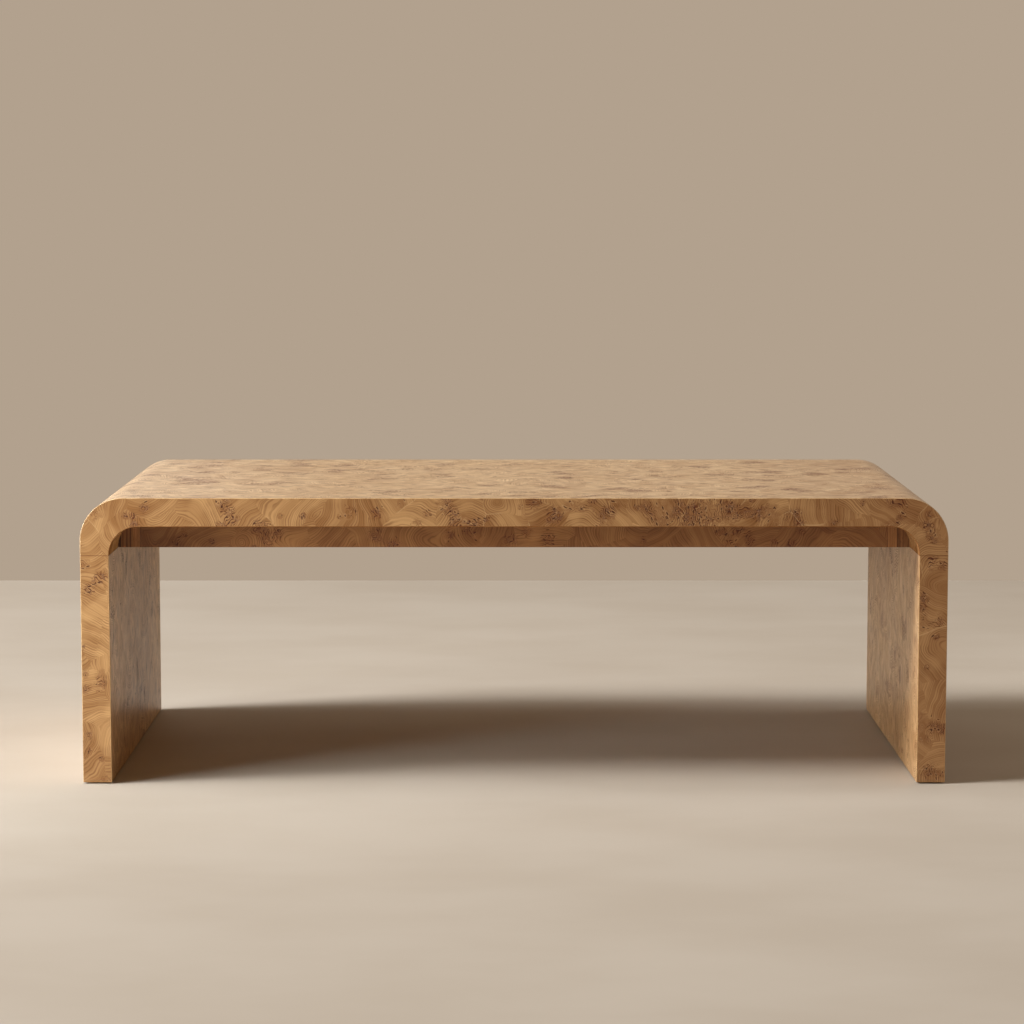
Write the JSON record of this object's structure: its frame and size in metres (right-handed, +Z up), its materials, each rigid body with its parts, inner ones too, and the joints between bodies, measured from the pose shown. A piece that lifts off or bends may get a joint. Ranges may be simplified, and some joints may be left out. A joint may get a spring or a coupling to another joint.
{
  "type": "waterfall coffee table",
  "caption": "Low waterfall coffee table: one slab bent over rounded shoulders into two full-depth legs, burl veneered, with a set-back rail frame under the top.",
  "frame": {"origin": "on the floor, under the middle of the top", "axes": "+X along the table's length, +Y to its back, +Z up"},
  "size_m": [1.2, 0.6, 0.4],
  "materials": {
    "burl_veneer": "satin lacquered burl veneer, honey coloured, with dark pips",
    "fibreboard": "raw medium density fibreboard",
    "solid_oak": "satin lacquered solid oak, straight grained",
    "pine": "planed softwood",
    "beech": "raw beech",
    "zinc_steel": "zinc plated",
    "nylon": "dark nylon"
  },
  "bodies": {
    "root": {"cross_rail_1": "pine", "cross_rail_2": "pine", "cross_rail_3": "pine", "glide_screws": "zinc_steel", "glides": "nylon", "glue_blocks": "pine", "leg_board_inner_left": "fibreboard", "leg_board_inner_right": "fibreboard", "leg_board_outer_left": "fibreboard", "leg_board_outer_right": "fibreboard", "leg_tongue_left": "beech", "leg_tongue_right": "beech", "rail_coped_block_back_left": "solid_oak", "rail_coped_block_back_right": "solid_oak", "rail_coped_block_front_left": "solid_oak", "rail_coped_block_front_right": "solid_oak", "rail_core_back": "fibreboard", "rail_core_front": "fibreboard", "rail_end_stave_back_left": "solid_oak", "rail_end_stave_back_right": "solid_oak", "rail_end_stave_front_left": "solid_oak", "rail_end_stave_front_right": "solid_oak", "rail_screws": "zinc_steel", "shoulder_block_left": "fibreboard", "shoulder_block_right": "fibreboard", "top_board_lower": "fibreboard", "top_board_upper": "fibreboard", "top_tongue_left": "beech", "top_tongue_right": "beech", "veneer_arch_band_back": "burl_veneer", "veneer_arch_band_front": "burl_veneer", "veneer_leg_edge_back_left": "burl_veneer", "veneer_leg_edge_back_right": "burl_veneer", "veneer_leg_edge_front_left": "burl_veneer", "veneer_leg_edge_front_right": "burl_veneer", "veneer_leg_inner_left": "burl_veneer", "veneer_leg_inner_right": "burl_veneer", "veneer_leg_outer_left": "burl_veneer", "veneer_leg_outer_right": "burl_veneer", "veneer_rail_face_back": "burl_veneer", "veneer_rail_face_front": "burl_veneer", "veneer_rail_foot_back": "burl_veneer", "veneer_rail_foot_front": "burl_veneer", "veneer_wrap_over_top": "burl_veneer", "veneer_wrap_under_top": "burl_veneer"}
  },
  "joints": []
}
